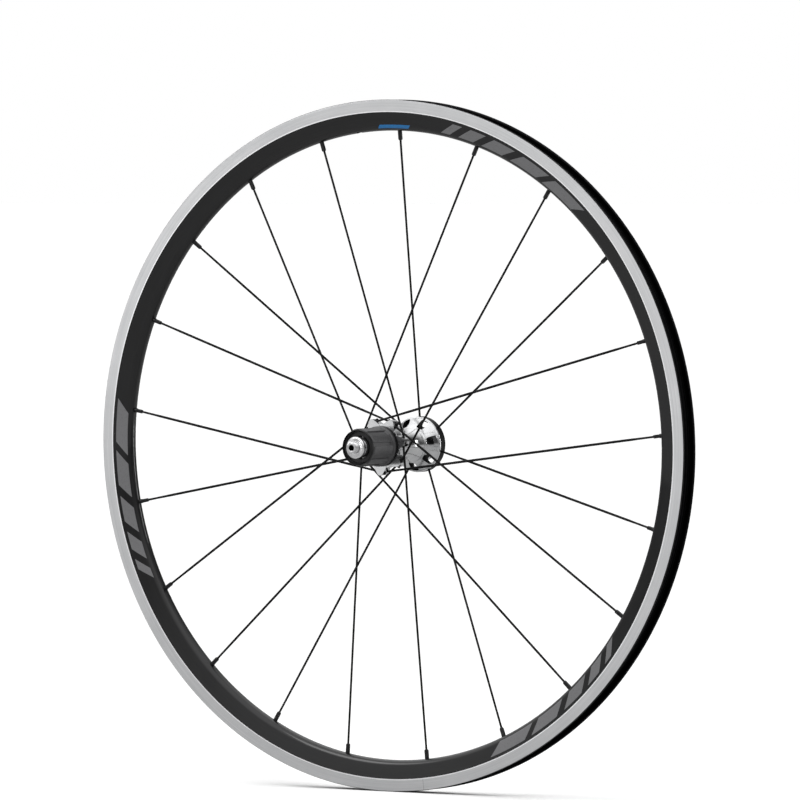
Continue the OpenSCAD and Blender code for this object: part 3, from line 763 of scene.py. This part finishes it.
def freehub():
    angles = groove_angles()

    def row(r, y, groove=0.0, pitch=0.0):
        """A ring with its grooves cut to a share of their depth, or with thread turns."""
        points = []
        for a, inside in angles:
            rr = r
            if groove and inside is not None:
                rr = min(r, r + (inside - SPLINE_R) * groove)
            if pitch:
                phase = (y / pitch + a / 360) % 1.0
                rr = r + 0.32 * abs(2 * phase - 1)
            t = math.radians(a)
            points.append((rr * math.cos(t), y, rr * math.sin(t)))
        return points

    rows = [row(15.9, -60.6), row(16.15, -60.5), row(16.3, -60.2), row(16.3, -58.2), row(16.42, -57.95),
            row(17.2, -57.32, 0.9), row(17.36, -57.2, 1.0), row(SPLINE_R, -57.0, 1.0)]
    rows += [row(SPLINE_R, y, 1.0) for y in (-50, -42, -34, -29.2)]
    rows += [row(SPLINE_R, -29.2 + 2.2 * t, 1 - smooth_step(t)) for t in (0.2, 0.4, 0.6, 0.8, 1.0)]
    rows += [row(r, y) for r, y in (
        (SPLINE_R, -26.75), (17.5, -26.6), (18.3, -26.12), (18.45, -26.0), (18.5, -25.8), (18.5, -24.6),
        (18.42, -24.45), (18.42, -24.2), (18.5, -24.05), (18.5, -22.95), (18.42, -22.6), (18.15, -22.35),
        (18.0, -22.3), (13.2, -22.3), (14.0, RATCHET_Y), (14.0, -45.5), (14.4, -45.5), (14.4, -54.0),
        (LOCKRING_R, -54.0))]
    steps = 34
    rows += [row(LOCKRING_R, -54.2 - 6.0 * k / steps, 0.0, 1.0) for k in range(steps + 1)]
    rows += [row(15.5, -60.4), row(15.7, -60.6)]
    body = make("freehub_body_visual", *grid(rows, True), FREEHUB)
    teeth = []
    tooth_a = 360 / RATCHET_TEETH
    for i in range(RATCHET_TEETH):
        for end, r in ((0, RATCHET_LOW_R), (1, RATCHET_HIGH_R)):
            a = math.radians(tooth_a * (i + end) - end * 0.5)
            teeth.append((r * math.cos(a), r * math.sin(a)))
    combine(body, prism("ratchet_cutter", teeth, RATCHET_Y, -21.3, FREEHUB), "DIFFERENCE", True)
    place(weigh_normals(body), "freehub", ["freehub_body"])


# --- axle, locknuts ----------------------------------------------------------

def axle():
    n, pitch, depth = AXLE_STEPS, 1.0, 0.42

    def thread_row(y, fade):
        points = []
        for k in range(n):
            phase = (y / pitch + k / n) % 1.0
            cut = max(0.0, abs(2 * phase - 1) * 1.15 - 0.15) * depth * fade
            r = AXLE_END_R - cut
            points.append((r * math.cos(TAU * k / n), y, r * math.sin(TAU * k / n)))
        return points

    rows = [ring_points(SKEWER_R + 0.3, -AXLE_END_Y, n), ring_points(4.2, -AXLE_END_Y, n),
            ring_points(4.5, -AXLE_END_Y + 0.12, n)]
    steps = 60
    for k in range(steps + 1):
        y = -AXLE_END_Y + 0.3 + (AXLE_END_Y - LOCKNUT_Y) * k / steps
        rows.append(thread_row(y, smooth_step(k / 6)))
    rows += [ring_points(AXLE_R - 0.02, -LOCKNUT_Y + 0.8, n), ring_points(AXLE_R - 0.02, LOCKNUT_Y - 0.8, n)]
    for k in range(steps + 1):
        y = LOCKNUT_Y - 0.3 + (AXLE_END_Y - LOCKNUT_Y) * k / steps
        rows.append(thread_row(y, smooth_step((steps - k) / 6)))
    rows += [ring_points(4.5, AXLE_END_Y - 0.12, n), ring_points(4.2, AXLE_END_Y, n),
             ring_points(SKEWER_R + 0.3, AXLE_END_Y, n), ring_points(SKEWER_R, AXLE_END_Y - 0.3, n),
             ring_points(SKEWER_R, -AXLE_END_Y + 0.3, n)]
    obj = make("hollow_axle_visual", *grid(rows, True), AXLE, 60.0)
    place(obj, "axle", ["hollow_axle"])


def locknut(name, node, side):
    """side is -1 on the drive side. Its outer face bites the frame with radial serrations."""
    teeth = 36
    n = teeth * 8
    outline = soft([(5.02, 0.0, 0.25), (6.0, 0.0, 0.0), (6.2, 0.0, 0.0), (8.4, 0.0, 0.0),
                    (8.7, 0.45, 0.15), (9.2, 0.5, 0.15), (10.0, 1.2, 0.35), (10.0, 2.8, 0.5),
                    (9.0, 3.6, 0.3), (5.02, 3.6, 0.15)], 4)
    rows = []
    for r, depth in outline:
        points = []
        for k in range(n):
            t = TAU * k / n
            bite = 0.0
            if depth < 0.02 and 6.1 < r < 8.6:
                bite = 0.32 * (0.5 - 0.5 * math.cos(t * teeth))
            points.append((r * math.cos(t), side * (LOCKNUT_Y - depth - bite), r * math.sin(t)))
        rows.append(points)
    obj = make(name, *grid(rows, True), LOCKNUT, 42.0)
    place(weigh_normals(obj), "axle", [node])


rim()
spokes_and_nipples()
hub_shell()
freehub()
axle()
locknut("drive_locknut_visual", "drive_locknut", -1)
locknut("nondrive_locknut_visual", "nondrive_locknut", 1)


# --- floor, light, camera ----------------------------------------------------

def floor():
    """A wide pale ground that the rim stands on, paler to the camera than to other rays."""
    f = Finish("studio_floor", specular=0.2)
    tone = f.noise(f.point, 0.004, 3.0)
    path = f.tree.nodes.new("ShaderNodeLightPath")
    pale = f.mix(f.spread(tone, 0.0, 1.0), (0.93, 0.93, 0.93), (0.95, 0.95, 0.95))
    mat = f.done(f.mix(path.outputs["Is Camera Ray"], (0.42, 0.42, 0.42), pale), f.spread(tone, 0.75, 0.9))
    reach, n = 60000.0, 96
    verts = [(reach * math.cos(TAU * k / n), reach * math.sin(TAU * k / n), -RIM_R - 0.05) for k in range(n)]
    obj = make("studio_ground", verts, [tuple(range(n))], mat)


def direction(azimuth, elevation):
    """Away from the hub, in degrees: 0, 0 is straight out of the drive side."""
    a, e = math.radians(azimuth), math.radians(elevation)
    return Vector((math.sin(a) * math.cos(e), -math.cos(a) * math.cos(e), math.sin(e)))


def look_back(obj, away):
    obj.rotation_mode = "QUATERNION"
    obj.rotation_quaternion = (-away).to_track_quat("-Z", "Y")


def softbox(name, azimuth, elevation, distance, size, power, target=(0, 0, 0)):
    light = bpy.data.lights.new(name, "AREA")
    light.shape = "RECTANGLE"
    light.size, light.size_y = size
    light.energy = power
    obj = bpy.data.objects.new(name, light)
    bpy.context.scene.collection.objects.link(obj)
    away = direction(azimuth, elevation)
    obj.location = Vector(target) + away * distance
    look_back(obj, away)


def studio():
    """A pale room, brighter overhead and dim on one side, that the camera sees as plain white."""
    world = bpy.data.worlds.new("studio")
    bpy.context.scene.world = world
    world.use_nodes = True
    tree = world.node_tree
    background = tree.nodes["Background"]
    coords = tree.nodes.new("ShaderNodeTexCoord")
    split = tree.nodes.new("ShaderNodeSeparateXYZ")
    tree.links.new(coords.outputs["Generated"], split.inputs[0])
    ramp = tree.nodes.new("ShaderNodeValToRGB")
    shift = tree.nodes.new("ShaderNodeMath")
    shift.operation = "MULTIPLY_ADD"
    shift.inputs[1].default_value = 0.5
    shift.inputs[2].default_value = 0.5
    tree.links.new(split.outputs[2], shift.inputs[0])
    tree.links.new(shift.outputs[0], ramp.inputs[0])
    stops = ((0.0, 0.6), (0.50, 0.20), (0.55, 0.22), (0.60, 0.36), (0.70, 0.80), (0.82, 1.45), (1.0, 1.75))
    elements = ramp.color_ramp.elements
    while len(elements) < len(stops):
        elements.new(0.5)
    for element, (position, tone) in zip(elements, stops):
        element.position = position
        element.color = (tone, tone, tone, 1.0)
    facing = tree.nodes.new("ShaderNodeVectorMath")
    facing.operation = "DOT_PRODUCT"
    facing.inputs[1].default_value = (0.64, 0.76, 0.0)
    tree.links.new(coords.outputs["Generated"], facing.inputs[0])
    flag = tree.nodes.new("ShaderNodeMapRange")
    for socket, number in zip(list(flag.inputs)[1:5], (0.35, 0.80, 1.0, 0.12)):
        socket.default_value = number
    tree.links.new(facing.outputs["Value"], flag.inputs[0])
    shaded = tree.nodes.new("ShaderNodeVectorMath")
    shaded.operation = "SCALE"
    tree.links.new(ramp.outputs["Color"], shaded.inputs[0])
    tree.links.new(flag.outputs[0], shaded.inputs["Scale"])
    path = tree.nodes.new("ShaderNodeLightPath")
    mix = tree.nodes.new("ShaderNodeMix")
    mix.data_type = "RGBA"
    tree.links.new(path.outputs["Is Camera Ray"], mix.inputs["Factor"])
    tree.links.new(shaded.outputs[0], mix.inputs["A"])
    mix.inputs["B"].default_value = (1.0, 1.0, 1.0, 1.0)
    tree.links.new(mix.outputs["Result"], background.inputs["Color"])
    softbox("key", -38, 38, 0.95, (0.5, 0.5), 3.0, (-0.12, 0, 0.16))
    softbox("front", -32, 2, 3.0, (1.3, 1.3), 3.4)
    softbox("edge", 130, 4, 3.0, (0.25, 2.2), 24.0)
    bpy.context.scene.view_settings.view_transform = "Standard"


def camera():
    distance = 8.0
    back = direction(33.0, 2.1)
    data = bpy.data.cameras.new("camera")
    data.sensor_width = 36.0
    data.lens = 392.76
    data.shift_x = 0.00825
    data.shift_y = 0.057
    data.clip_end = 200.0
    obj = bpy.data.objects.new("camera", data)
    bpy.context.scene.collection.objects.link(obj)
    obj.location = back * distance
    look_back(obj, back)
    bpy.context.scene.camera = obj


floor()
studio()
camera()
